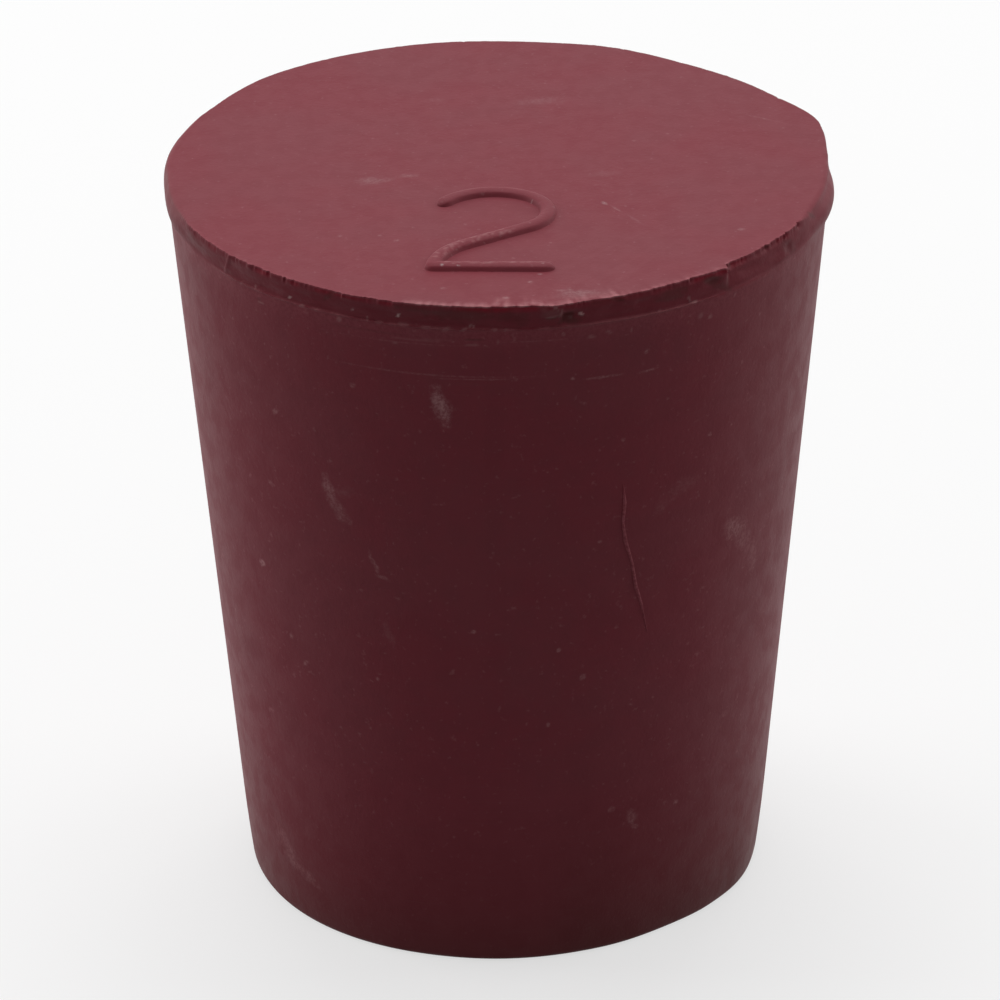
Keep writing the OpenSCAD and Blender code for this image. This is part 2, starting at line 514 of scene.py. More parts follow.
def run_straight(old, new, steps, wear):
    """Runs the selected section on in a straight line, a little worn here and there."""
    old_size = 1.0
    for step in range(steps):
        was = [o + (n - o) * step / steps for o, n in zip(on_top(old), on_top(new))]
        now = [o + (n - o) * (step + 1) / steps for o, n in zip(on_top(old), on_top(new))]
        move = [n - w for w, n in zip(was, now)]
        bpy.ops.mesh.extrude_region_move(TRANSFORM_OT_translate={"value": move})
        ease = math.sin(math.pi * (step + 1) / steps)
        size = 1 - wear * ease * abs(noise.noise(Vector((0.31 * step, 11, 0))))
        grow = size / old_size
        bpy.ops.transform.resize(value=(grow, grow, grow), center_override=now)
        old_size = size


def swing(centre, turn, steps):
    """Swings the selected section around a centre, counter-clockwise where turn is > 0."""
    bpy.ops.mesh.spin(
        steps=steps, angle=-turn, center=on_top(centre), axis=(0, 0, 1), use_auto_merge=False
    )


# How far round the sections of a round end stand, in degrees, at the start of a stroke and
# at its end.
opening = (-80, -64, -48, -32, -16, 0)
closing = (0, 16, 32, 48, 64, 80)

tip = arc_point(crown_c, crown_r, math.pi / 2 + tip_turn)
low_corner = arc_point(sweep_c, sweep_r, corner_a)
bar_end = (bar - 0.07, 0.0)

stroke = set_section("number_stroke", tip, tip_turn, opening[0], end_reach)
round_end(tip, tip_turn, opening, end_reach)
swing(crown_c, -(tip_turn + crown_turn), 44)
swing(side_c, slant_a - math.pi + crown_turn, 42)
run_straight(slant_top, slant_low, 24, 0.14)
swing(sweep_c, corner_a - math.pi / 2 - slant_a, 28)
round_end(low_corner, corner_a + math.pi / 2, closing, corner_reach)
close_stroke()

foot_bar = set_section("number_foot_bar", low_corner, 0.0, opening[0], corner_reach)
round_end(low_corner, 0.0, opening, corner_reach)
run_straight(low_corner, bar_end, 50, 0.26)
round_end(bar_end, 0.0, closing, end_reach)
# The bar is set a hair lower, so that the two crests don't touch in a single point.
bpy.ops.mesh.select_all(action="SELECT")
bpy.ops.transform.translate(value=(0, 0, -hair * mm))
close_stroke()

# A fine thread of rubber stands on the flank where a scored mould let it through. These
# are the direction and height of its points, and then the heights between which it lies.
thread = (
    (-67.6, 14.45),
    (-67.2, 13.85),
    (-67.4, 13.25),
    (-66.7, 12.67),
    (-65.2, 12.00),
    (-64.2, 11.25),
    (-62.8, 10.67),
    (-61.2, 9.75),
)
thread_low = 9.5
thread_high = 14.6
thread_half_w = 0.062
thread_out = 0.034


def on_flank(direction, z):
    """A place on the flank, in metres."""
    r = flank_r(z)
    a = math.radians(direction)
    return Vector((r * math.cos(a), r * math.sin(a), z)) * mm


bpy.ops.object.select_all(action="DESELECT")
bpy.ops.mesh.primitive_circle_add(vertices=6, radius=mm, fill_type="NGON")
fine_thread = bpy.context.active_object
fine_thread.name = "fine_thread"
start = on_flank(*thread[0])
out_way = Vector((start.x, start.y, 0)).normalized()
side_way = Vector((-out_way.y, out_way.x, 0))

# Its section across and out, as shares of its half width and of how far it stands out. At
# both tips it is small, and at the first one it stands a little higher.
section = ((1.0, -2.0), (0.8, 0.35), (0.3, 1.0), (-0.3, 1.0), (-0.8, 0.35), (-1.0, -2.0))
tip_size = 0.2
tip_lift = 0.4
for corner, (across, up) in zip(fine_thread.data.vertices, section):
    across *= thread_half_w * tip_size * mm
    up = (up + tip_lift if up > 0 else up) * thread_out * tip_size * mm
    corner.co = start + side_way * across + out_way * up
bpy.ops.object.mode_set(mode="EDIT")
bpy.ops.mesh.select_all(action="SELECT")
old_size = tip_size
for step, (old, new) in enumerate(zip(thread, thread[1:])):
    old_at = on_flank(*old)
    new_at = on_flank(*new)
    bpy.ops.mesh.extrude_region_move(TRANSFORM_OT_translate={"value": new_at - old_at})
    new_size = tip_size if step == len(thread) - 2 else 1.0 - 0.3 * (step % 2)
    grow = new_size / old_size
    bpy.ops.transform.resize(value=(grow, grow, 1), center_override=new_at)
    old_size = new_size
close_stroke()

# The number and the thread are moulded in one with the plug.
for part in (stroke, foot_bar, fine_thread):
    bpy.ops.object.select_all(action="DESELECT")
    bpy.context.view_layer.objects.active = stopper
    stopper.select_set(True)
    mould = stopper.modifiers.new("mould_in_one", "BOOLEAN")
    mould.operation = "UNION"
    mould.solver = "EXACT"
    mould.object = part
    bpy.ops.object.modifier_apply(modifier=mould.name)
    bpy.data.objects.remove(part)


# ---------------------------------------------------------------------------
# The rubber itself: matt red, filled rubber with a thin grey bloom. The cut band
# shows fresh, darker rubber, and handling has left chalky smears and specks.

# Some of the colours below also paint light: highlights along the upper edge, the parting line
# and the number's crest, sheen at the sides, and shade at the foot.
skin_red = (0.202, 0.0325, 0.0455, 1)
bloom_red = (0.196, 0.0430, 0.0550, 1)
cut_red = (0.150, 0.0190, 0.0280, 1)
# Rubbed pink, also laid on as painted highlight along the lip and the parting line.
rubbed_and_highlight_red = (0.460, 0.140, 0.165, 1)
torn_red = (0.240, 0.0080, 0.0220, 1)
chalk = (0.580, 0.300, 0.310, 1)
faint_chalk = (0.430, 0.300, 0.305, 1)
# Pale dust, also laid on as painted highlight and painted sheen.
pale_flake_and_highlight = (0.720, 0.460, 0.455, 1)
# Dark dirt, also laid on as painted shade towards the foot.
dark_dirt_and_shade = (0.050, 0.019, 0.015, 1)

# Where the rubber is torn dark under the upper edge: start, end and amount.
torn_runs = (
    (-149.0, -146.5, 0.4),
    (-135.2, -132.6, 0.9),
    (-127.2, -126.0, 0.7),
    (-122.0, -112.0, 0.6),
    (-110.0, -108.2, 0.7),
    (-98.5, -95.5, 0.6),
    (-95.0, -84.0, 1.0),
    (-83.0, -60.0, 0.3),
    (-54.5, -47.8, 1.0),
    (-46.5, -42.8, 0.6),
    (-33.0, -30.0, 0.4),
    (30.0, 45.0, 0.8),
    (70.0, 85.0, 0.8),
    (100.0, 118.0, 0.8),
)
# Flecks of pale dust on the band and just below it, and places where dirt has settled.
# Each is direction, height, turn, half length, half width, amount.
flecks = (
    (-139.8, 19.28, 20, 0.08, 0.035, 0.14),
    (-136.2, 19.35, 75, 0.09, 0.040, 0.20),
    (-135.0, 18.97, 8, 0.14, 0.035, 0.17),
    (-128.1, 19.43, 35, 0.07, 0.035, 0.60),
    (-125.6, 19.30, 5, 0.09, 0.035, 0.17),
    (-122.6, 19.29, 20, 0.07, 0.035, 0.12),
    (-118.1, 19.17, 70, 0.07, 0.070, 0.15),
    (-115.4, 19.54, 50, 0.05, 0.035, 0.40),
    (-112.8, 19.37, 80, 0.07, 0.035, 0.15),
    (-110.6, 19.31, 0, 0.13, 0.035, 0.10),
    (-108.0, 18.77, -5, 0.10, 0.035, 0.12),
    (-107.2, 19.58, 60, 0.08, 0.036, 0.95),
    (-106.2, 19.33, 0, 0.14, 0.035, 0.16),
    (-103.5, 18.93, 2, 0.80, 0.035, 0.060),
    (-102.5, 19.31, 0, 0.14, 0.035, 0.12),
    (-99.0, 19.30, 20, 0.12, 0.050, 0.14),
    (-96.0, 19.31, 25, 0.12, 0.035, 0.17),
    (-94.9, 19.41, 70, 0.07, 0.035, 0.25),
    (-94.4, 19.39, 110, 0.05, 0.035, 0.20),
    (-94.5, 18.88, 3, 0.22, 0.035, 0.12),
    (-90.9, 19.31, 0, 0.06, 0.035, 0.17),
    (-90.3, 18.97, 90, 0.05, 0.035, 0.12),
    (-89.0, 19.31, 0, 0.05, 0.035, 0.16),
    (-81.4, 19.78, 0, 0.30, 0.170, 0.055),
    (-81.2, 19.65, 8, 0.17, 0.035, 0.16),
    (-80.8, 19.93, 0, 0.05, 0.035, 0.23),
    (-80.3, 19.85, 60, 0.07, 0.035, 0.15),
    (-79.8, 19.75, 85, 0.20, 0.035, 0.15),
    (-79.3, 19.12, -40, 0.06, 0.035, 0.15),
    (-77.9, 19.52, 0, 0.04, 0.035, 0.07),
    (-76.3, 19.64, -35, 0.08, 0.035, 0.45),
    (-74.4, 18.93, -10, 0.10, 0.050, 0.12),
    (-71.3, 19.00, -25, 0.12, 0.040, 0.12),
    (-67.2, 18.95, 85, 0.08, 0.035, 0.12),
    (-62.0, 19.33, 0, 0.06, 0.035, 0.17),
    (-56.0, 19.42, -70, 0.10, 0.035, 0.17),
    (-55.3, 19.33, -5, 0.13, 0.035, 0.34),
    (-53.5, 18.85, 60, 0.10, 0.080, 0.11),
    (-51.4, 18.73, 0, 0.07, 0.060, 0.15),
    (-47.4, 19.89, -58, 0.14, 0.040, 0.35),
    (-45.8, 19.10, 60, 0.08, 0.040, 0.12),
)
dirty_places = (
    (-135.3, 19.07, 0, 0.10, 0.04, 0.30),
    (-119.5, 19.85, 40, 0.35, 0.07, 0.35),
    (-112.0, 19.03, 0, 1.20, 0.035, 0.22),
    (-104.0, 19.84, -3, 0.60, 0.10, 0.30),
    (-96.5, 19.75, 0, 1.00, 0.20, 0.35),
    (-94.6, 19.02, 0, 0.25, 0.04, 0.50),
    (-89.0, 19.72, 0, 0.30, 0.20, 0.30),
    (-86.5, 19.60, 90, 0.25, 0.25, 0.25),
    (-81.2, 19.60, 8, 0.17, 0.035, 0.50),
    (-78.5, 19.60, 0, 0.23, 0.17, 0.55),
    (-78.1, 19.46, 0, 0.31, 0.10, 0.50),
    (-47.7, 19.58, 90, 0.22, 0.08, 0.35),
    (-153.5, 19.62, 0, 0.75, 0.20, 0.18),
    (-73.5, 19.90, 0, 0.30, 0.05, 0.30),
    (-70.0, 19.90, -10, 0.25, 0.06, 0.50),
    (-59.5, 19.70, 0, 0.50, 0.20, 0.35),
    (-51.2, 19.75, -30, 0.35, 0.16, 0.50),
    (-49.0, 19.50, -35, 0.50, 0.10, 0.35),
    (-46.3, 19.93, 0, 0.05, 0.04, 0.50),
    (-36.6, 19.95, 90, 0.06, 0.06, 0.50),
    (-30.0, 19.60, -30, 0.50, 0.20, 0.20),
    (-20.0, 19.88, -35, 0.30, 0.06, 0.40),
)
# The heights above which the edge is worn, the rim of the top face is rubbed, the lip ends
# and only the number is left.
worn_z = 18.3
rim_z = 19.97
lip_top_z = 19.985
number_z = height + 0.05
# Everything on the wall is farther out than the first of these, and the rim of the top face
# farther out than the second. The thread stands clear of the flank by the third.
wall_from_r = 6.5
rim_from_r = 7.9
thread_clear = 0.012


def strongest_mark(marks, direction, z, wobble):
    """How strongly the clearest of some marks shows at a place on the wall."""
    strongest = 0.0
    for centre, middle, turn, half_l, half_w, amount in marks:
        across = math.radians(direction - centre) * top_r
        up = z - middle
        if abs(across) > 1.3 * half_l + 0.1 or abs(up) > 1.3 * half_l + 0.1:
            continue
        tilt = math.radians(turn)
        far = (across * math.cos(tilt) + up * math.sin(tilt)) / half_l
        beside = (up * math.cos(tilt) - across * math.sin(tilt)) / half_w
        reach = math.hypot(far, beside) + wobble
        strongest = max(strongest, amount * clipped((1.2 - reach) / 0.6))
    return strongest


def side_dust_and_sheen(direction, z):
    """Pale dust on the flank, at the right and at the left, up to the band, and a painted sheen
    where these sides catch the side lights.
    """
    at_sides = 0.75 * between(direction, -34, 10, 22) + 0.5 * between(direction, -20, 10, 14)
    at_sides += 0.75 * between(direction, 150, 200, 14)
    return 0.036 * at_sides * (1 - clipped((z - seam_z + 0.02) / 0.1))


def painted_foot_shade(direction, z):
    """Painted shade towards the foot, which reaches higher at the front right."""
    right_front = between(direction, -72, -5, 14)
    reach = 5.5 + 1.8 * right_front
    return (0.50 + 0.12 * right_front) * max(0.0, 1 - z / reach) ** 2


def fresh_rubber(direction, z, along):
    """How fresh the rubber of the band is: less on the soft lip, and not on the roll."""
    patchy = noise.noise(Vector((along * 1.1, z * 3.0, 1)))
    in_band = min(clipped((z - seam_z + 0.02) / 0.08), clipped((lip_top_z - z) / 0.04))
    cut_share = (1 - on_roll(direction)) * (0.8 + 0.2 * cut_here(direction))
    return in_band * cut_share * min(1.0, 0.9 + 0.6 * patchy)


def torn_rubber(direction, z, sparse):
    """How dark the torn rubber is, under the upper edge and once under the parting line."""
    torn = 0.0
    for start, end, amount in torn_runs:
        torn += amount * between(direction, start, end, 0.8) * bell(z - 19.925, 0.13, 0.06)
    torn += 0.7 * between(direction, -50, -38, 3) * bell(z - 19.275, 0.06, 0.05)
    return torn * cut_here(direction) * clipped(0.85 + 1.2 * sparse)


def rim_wear_and_highlight(direction, r, sparse):
    """How worn and how dusty the rim of the top face is, with a painted highlight along the
    lip: more so at the front.
    """
    inside = trimmed_r(direction) + ragged_r(direction) - r
    front = between(direction, -104, -49, 4)
    highlight_run = between(direction, -67, -47, 3)
    at_back = between(direction, 0, 190, 12)
    dusty_run = between(direction, -104, -84, 3)
    dusty_patch = between(direction, -88, -71, 5) * max(0.0, 0.6 + 2.0 * sparse)
    width = 0.10 + 0.16 * dusty_run + 0.35 * dusty_patch + 0.05 * front
    rubbed_and_highlight = max(0.0, 1 - max(0.0, inside) / width) * (0.34 + 0.26 * front + 0.22 * highlight_run)
    rubbed_and_highlight *= (1 - 0.9 * at_back) * (1 - on_roll(direction))
    rim_dust_and_highlight = 0.13 * dusty_patch * max(0.0, 1 - inside / 0.8)
    rim_dust_and_highlight += (0.05 * front + 0.16 * dusty_run) * max(0.0, 1 - max(0.0, inside) / 0.3)
    return rubbed_and_highlight, rim_dust_and_highlight


def painted_soft_lip_highlight(direction, z):
    """Painted highlight on the soft lip at the left, where it catches the light, from a
    slanting line up to the top face.
    """
    if z > height - hair:
        return 0.0
    low = 19.58 + 0.045 * turn_from(direction, -166)
    in_lip = clipped((z - low) / 0.15) * min(1.0, (height + hair - z) / 0.04)
    return 0.045 * in_lip * between(direction, 150, 200, 4)


def painted_seam_highlight(direction, z, along):
    """Painted highlight along the parting line, where its ridge catches the light: in streaks,
    and not at the right or on the roll.
    """
    streak = 0.45 + 2.2 * noise.noise(Vector((along * 1.8, 3, 0)))
    streak = max(0.0, streak, 0.9 * between(direction, -78, -53, 2))
    seam_highlight_mask = bell(z - seam_z + 0.012, 0.05, 0.035) * (1 - on_roll(direction))
    return seam_highlight_mask * (1 - between(direction, -53, 0, 3)) * min(1.0, streak)


def crest_grit_and_highlight(x, y, z):
    """Grit on the crest of the number, on its slanted stroke and its bar, and a painted
    highlight where the crest catches the light.
    """
    on_slant = -1.75 < x < 0.45 and -6.05 < y < -4.2
    on_bar = -1.5 < x < 1.2 and -6.44 < y < -6.2
    if not (on_slant or on_bar):
        return 0.0
    grit = 0.10 + 2.0 * noise.noise(Vector((x * 7.0, y * 11.0, 4)))
    return 0.14 * clipped((z - 20.09) / 0.05) * clipped(grit)


# How fresh, torn, worn, dusty and dirty the rubber is at each point of the surface, and where
# painted highlight, sheen and shade lie.
wear_and_painted_light_labels = ("fresh_cut", "torn_edge", "edge_dust_and_highlight", "pale_dust_and_highlight", "dirt_and_foot_shade")
attributes = stopper.data.attributes
for label in wear_and_painted_light_labels:
    attributes.new(label, "FLOAT", "POINT")
for corner in stopper.data.vertices:
    x, y, z = corner.co / mm
    r = math.hypot(x, y)
    direction = math.degrees(math.atan2(y, x))
    along = math.radians(direction) * top_r
    fresh, torn, rubbed_and_highlight, pale, dirt_and_shade = 0.0, 0.0, 0.0, 0.0, 0.0
    if z < number_z and r > wall_from_r:
        # Pale dust and painted sheen at the sides.
        pale = side_dust_and_sheen(direction, z)
        # Painted shade, darker towards the foot.
        dirt_and_shade = painted_foot_shade(direction, z)
    if worn_z < z < number_z and r > rim_from_r:
        sparse = noise.noise(Vector((along * 2.3, 2, 0)))
        wobble = 0.5 * noise.noise(Vector((along * 7.0, z * 7.0, 6)))
        fresh = fresh_rubber(direction, z, along)
        torn = torn_rubber(direction, z, sparse)
        if z < lip_top_z:
            pale = max(pale, strongest_mark(flecks, direction, z, wobble))
            dirt_and_shade = max(dirt_and_shade, strongest_mark(dirty_places, direction, z, wobble))
        # The rim: wear and dust, with a painted highlight along the lip.
        if z > rim_z:
            streak = 0.55 + 1.2 * noise.noise(Vector((along * 8.0, z, r * 1.6)))
            streak = max(0.0, streak + 0.9 * noise.noise(Vector((along * 3.0, z, r * 5.0))))
            rubbed_and_highlight, rim_dust_and_highlight = rim_wear_and_highlight(direction, r, sparse)
            rubbed_and_highlight *= streak
            pale = max(pale, rim_dust_and_highlight * streak)
        # Painted highlight along the parting line, and on the soft lip at the left.
        seam_highlight_mask = painted_seam_highlight(direction, z, along)
        under_seam = bell(z - seam_z + 0.06, 0.75, 0.06) * (1 - on_roll(direction))
        rubbed_and_highlight = max(rubbed_and_highlight, 0.25 * seam_highlight_mask, 0.16 * under_seam)
        pale = max(pale, 0.07 * seam_highlight_mask, painted_soft_lip_highlight(direction, z))
    elif z > number_z:
        # Grit and painted highlight on the crest of the number.
        pale = crest_grit_and_highlight(x, y, z)
    elif thread_low < z < thread_high and r > flank_r(z) + thread_clear:
        rubbed_and_highlight = 0.5
    # These shares hold wear, dirt, and the painted highlight, sheen and shade.
    for label, wear in zip(wear_and_painted_light_labels, (fresh, torn, rubbed_and_highlight, pale, dirt_and_shade)):
        attributes[label].data[corner.index].value = min(1.0, wear)


def feed(tree, socket, value):
    """Sets an input to a number or colour, or links it to another node's output."""
    if isinstance(value, bpy.types.NodeSocket):
        tree.links.new(value, socket)
    else:
        socket.default_value = value


def calc(tree, operation, *values, clamp=False):
    """A math node."""
    node = tree.nodes.new("ShaderNodeMath")
    node.operation = operation
    node.use_clamp = clamp
    for socket, value in zip(node.inputs, values):
        feed(tree, socket, value)
    return node.outputs[0]


def vector_calc(tree, operation, first, second):
    """A vector math node."""
    node = tree.nodes.new("ShaderNodeVectorMath")
    node.operation = operation
    feed(tree, node.inputs[0], first)
    feed(tree, node.inputs[1], second)
    return node.outputs["Value" if operation == "LENGTH" else "Vector"]


def fade(tree, value, start, end, low=0.0, high=1.0):
    """A smooth change from low to high as a value goes from start to end."""
    node = tree.nodes.new("ShaderNodeMapRange")
    node.interpolation_type = "SMOOTHSTEP"
    feed(tree, node.inputs["Value"], value)
    feed(tree, node.inputs["From Min"], start)
    feed(tree, node.inputs["From Max"], end)
    feed(tree, node.inputs["To Min"], low)
    feed(tree, node.inputs["To Max"], high)
    return node.outputs["Result"]


def grain(tree, place, scale, detail=2.0, roughness=0.5, output="Fac"):
    """Noise whose scale is in cells to the millimetre."""
    node = tree.nodes.new("ShaderNodeTexNoise")
    feed(tree, node.inputs["Vector"], place)
    feed(tree, node.inputs["Scale"], scale)
    feed(tree, node.inputs["Detail"], detail)
    feed(tree, node.inputs["Roughness"], roughness)
    return node.outputs[output]


def tint(tree, amount, below, above):
    """One colour laid over another by a mask."""
    node = tree.nodes.new("ShaderNodeMix")
    node.data_type = "RGBA"
    feed(tree, node.inputs["Factor"], amount)
    feed(tree, node.inputs[6], below)
    feed(tree, node.inputs[7], above)
    return node.outputs[2]


def flat_place(tree, across, up):
    """A place on a flat plan of the surface."""
    node = tree.nodes.new("ShaderNodeCombineXYZ")
    feed(tree, node.inputs[0], across)
    feed(tree, node.inputs[1], up)
    return node.outputs[0]


# One rubbed or chalky mark: an oval at its centre, turned, with a ragged outline.
chalk_mark = bpy.data.node_groups.new("chalk_mark", "ShaderNodeTree")
for label, kind in (
    ("Place", "NodeSocketVector"),
    ("Centre", "NodeSocketVector"),
    ("Turn", "NodeSocketVector"),
    ("Size", "NodeSocketVector"),
    ("Amount", "NodeSocketFloat"),
    ("Ragged", "NodeSocketFloat"),
):
    chalk_mark.interface.new_socket(label, in_out="INPUT", socket_type=kind)
chalk_mark.interface.new_socket("Mask", in_out="OUTPUT", socket_type="NodeSocketFloat")
mark_in = chalk_mark.nodes.new("NodeGroupInput").outputs
mark_out = chalk_mark.nodes.new("NodeGroupOutput").inputs
oval = chalk_mark.nodes.new("ShaderNodeMapping")
oval.vector_type = "TEXTURE"
feed(chalk_mark, oval.inputs["Vector"], mark_in["Place"])
feed(chalk_mark, oval.inputs["Location"], mark_in["Centre"])
feed(chalk_mark, oval.inputs["Rotation"], mark_in["Turn"])
feed(chalk_mark, oval.inputs["Scale"], mark_in["Size"])
reach = vector_calc(chalk_mark, "LENGTH", oval.outputs[0], (0, 0, 0))
reach = calc(chalk_mark, "ADD", reach, mark_in["Ragged"])
feed(chalk_mark, mark_out["Mask"], fade(chalk_mark, reach, 1.0, 0.15, 0.0, mark_in["Amount"]))

rubber = bpy.data.materials.new("red_rubber")
rubber.use_nodes = True
tree = rubber.node_tree
tree.nodes.clear()
where = tree.nodes.new("ShaderNodeTexCoord").outputs["Object"]
place = vector_calc(tree, "MULTIPLY", where, (1000, 1000, 1000))
axes = tree.nodes.new("ShaderNodeSeparateXYZ")
feed(tree, axes.inputs[0], place)
x_mm, y_mm, z_mm = axes.outputs
# The flank is unrolled to a flat plan at this radius.
unroll_r = 8.0
unrolled = calc(tree, "MULTIPLY", calc(tree, "ARCTAN2", y_mm, x_mm), unroll_r)
flat_side = flat_place(tree, unrolled, z_mm)
flat_top = flat_place(tree, x_mm, y_mm)
on_face = fade(tree, z_mm, 19.90, 19.97)
on_flank_mask = calc(tree, "SUBTRACT", 1.0, on_face)

# Bloom: soft blotches, a finer mottle, and on the flank the faint rings of the mould.
# Less of it towards the foot, which paints shade there.
blotch = fade(tree, grain(tree, place, 0.33, 2.0, 0.55), 0.38, 0.66)
mottle = fade(tree, grain(tree, place, 1.7, 4.0, 0.6), 0.35, 0.68)
bloom = calc(tree, "MULTIPLY_ADD", blotch, 0.45, calc(tree, "MULTIPLY", mottle, 0.40))
bloom = calc(tree, "MULTIPLY", bloom, fade(tree, z_mm, 1.5, 8.0, 0.1, 1.0))
colour = tint(tree, bloom, skin_red, bloom_red)
ring_place = vector_calc(tree, "MULTIPLY", flat_side, (0.35, 9.0, 1.0))
ring_lines = grain(tree, ring_place, 1.0, 4.0, 0.6)
ring_mask = calc(tree, "MULTIPLY", fade(tree, ring_lines, 0.54, 0.72), on_flank_mask)
colour = tint(tree, calc(tree, "MULTIPLY", ring_mask, 0.35), colour, bloom_red)

# The cut band, the torn line under the upper edge, the dirt, and the painted shade towards the
# foot.
shown = {}
for label in wear_and_painted_light_labels:
    worked = tree.nodes.new("ShaderNodeAttribute")
    worked.attribute_name = label
    shown[label] = worked.outputs["Fac"]
colour = tint(tree, calc(tree, "MULTIPLY", shown["fresh_cut"], 0.85), colour, cut_red)
colour = tint(tree, calc(tree, "MULTIPLY", shown["torn_edge"], 0.8), colour, torn_red)
# Dirt, and the painted shade towards the foot.
colour = tint(tree, shown["dirt_and_foot_shade"], colour, dark_dirt_and_shade)

# Chalk: direction or X, height or Y, turn, half length, half width, amount. The outlines
# of the wide marks wander, and those of dots and thin lines don't.
side_marks = (
    (-100.2, 17.00, -78, 0.80, 0.26, 0.62),
    (-116.4, 17.30, 40, 0.14, 0.10, 0.26),
    (-122.6, 13.95, -68, 0.60, 0.28, 0.42),
    (-121.0, 13.45, -55, 0.55, 0.22, 0.28),
    (-119.6, 14.05, 20, 0.45, 0.26, 0.10),
    (-114.6, 12.10, -72, 0.40, 0.09, 0.29),
    (-112.9, 11.70, -25, 0.34, 0.09, 0.24),
    (-111.8, 10.00, -80, 0.60, 0.16, 0.10),
    (-142.7, 10.84, 30, 0.19, 0.15, 0.60),
    (-134.1, 15.82, 30, 0.17, 0.10, 0.31),
    (-137.2, 13.53, -10, 0.16, 0.10, 0.29),
    (-135.9, 8.99, 80, 0.13, 0.11, 0.29),
    (-132.5, 8.32, 35, 0.20, 0.10, 0.31),
    (-145.5, 6.20, 10, 0.20, 0.12, 0.17),
    (-115.2, 8.50, 0, 0.08, 0.08, 0.26),
    (-95.6, 10.30, 0, 0.10, 0.08, 0.34),
    (-79.2, 9.66, 0, 0.11, 0.10, 0.42),
    (-74.4, 8.76, 60, 0.15, 0.11, 0.34),
    (-81.2, 7.38, 90, 0.11, 0.08, 0.27),
    (-74.4, 10.60, 0, 0.08, 0.08, 0.26),
    (-71.7, 12.80, 0, 0.08, 0.07, 0.29),
    (-68.0, 15.75, 0, 0.09, 0.08, 0.29),
    (-49.4, 15.20, 0, 0.10, 0.09, 0.27),
    (-59.4, 13.50, 60, 0.45, 0.24, 0.11),
    (-55.0, 13.90, 15, 0.90, 0.30, 0.08),
    (-40.2, 11.88, -30, 0.74, 0.44, 0.36),
    (-37.2, 11.40, -52, 0.95, 0.45, 0.22),
    (-33.6, 10.75, -70, 0.75, 0.36, 0.18),
    (-67.4, 4.45, 0, 0.15, 0.12, 0.24),
    (-62.8, 4.05, -55, 0.36, 0.20, 0.27),
    (-61.8, 3.75, -30, 0.16, 0.12, 0.31),
    (-51.4, 4.07, 0, 0.11, 0.10, 0.34),
    (-38.3, 6.20, 20, 0.26, 0.16, 0.14),
    (-145.0, 2.10, -35, 0.95, 0.34, 0.20),
    (-141.0, 1.65, -20, 1.25, 0.30, 0.20),
    (-136.5, 1.35, -8, 0.80, 0.14, 0.12),
    (-148.5, 2.50, -30, 0.60, 0.12, 0.11),
    (-101.7, 17.93, 0, 3.00, 0.045, 0.16),
    (-94.0, 17.86, 1, 1.50, 0.040, 0.16),
    (-72.0, 17.71, -1, 0.66, 0.060, 0.26),
    (-63.7, 17.66, 3, 0.34, 0.060, 0.28),
    (-77.5, 17.77, 0, 0.09, 0.080, 0.36),
    (-64.1, 18.24, 60, 0.11, 0.080, 0.36),
    (-108.0, 18.80, 1, 2.40, 0.035, 0.10),
    (-84.0, 18.95, 0, 1.20, 0.030, 0.10),
    (62.0, 13.00, -60, 1.10, 0.30, 0.26),
    (95.0, 7.50, 20, 0.90, 0.35, 0.22),
    (128.0, 15.20, -40, 0.70, 0.20, 0.26),
    (20.0, 5.00, 70, 0.80, 0.24, 0.22),
    (160.0, 9.00, 30, 0.50, 0.18, 0.22),
)
top_marks = (
    (-3.30, -0.68, 12, 0.62, 0.30, 0.21),
    (-2.40, -0.42, 8, 0.44, 0.20, 0.20),
    (1.20, 4.55, 8, 0.95, 0.34, 0.13),
    (2.80, -0.42, 0, 0.70, 0.26, 0.08),
    (-1.70, 4.60, 8, 0.40, 0.20, 0.07),
    (2.76, -2.36, -50, 0.16, 0.08, 0.80),
    (3.05, -2.70, -57, 0.36, 0.05, 0.24),
    (3.50, -3.35, -58, 0.50, 0.05, 0.14),
    (-4.10, -4.28, 0, 0.10, 0.09, 0.28),
    (-3.09, -4.28, 0, 0.10, 0.08, 0.24),
    (-2.63, -4.60, 30, 0.12, 0.09, 0.28),
    (6.26, -4.10, 0, 0.13, 0.12, 0.28),
    (7.05, 3.20, -31, 0.95, 0.06, 0.13),
    (1.04, -6.79, 0, 0.10, 0.09, 0.35),
    (0.78, -7.28, -30, 0.12, 0.10, 0.35),
    (1.67, -7.79, -20, 0.34, 0.16, 0.25),
    (0.16, -8.25, 0, 0.13, 0.11, 0.39),
    (-1.43, -7.60, 0, 0.10, 0.09, 0.21),
    (2.05, -8.05, 8, 0.80, 0.30, 0.24),
    (-1.46, -6.47, 0, 0.07, 0.055, 0.85),
    (-1.04, -6.50, 0, 0.07, 0.050, 0.75),
    (1.12, -6.48, 0, 0.055, 0.050, 0.75),
    (0.87, -2.31, 0, 0.06, 0.035, 0.49),
)
wander = grain(tree, place, 1.3, 2.0, 0.6, "Color")
wander = vector_calc(tree, "SUBTRACT", wander, (0.5, 0.5, 0.5))
wander = vector_calc(tree, "MULTIPLY", wander, (0.5, 0.5, 0.0))
ragged = calc(tree, "MULTIPLY_ADD", grain(tree, place, 4.5, 3.0, 0.7), 1.4, -0.7)
chalked = 0.0
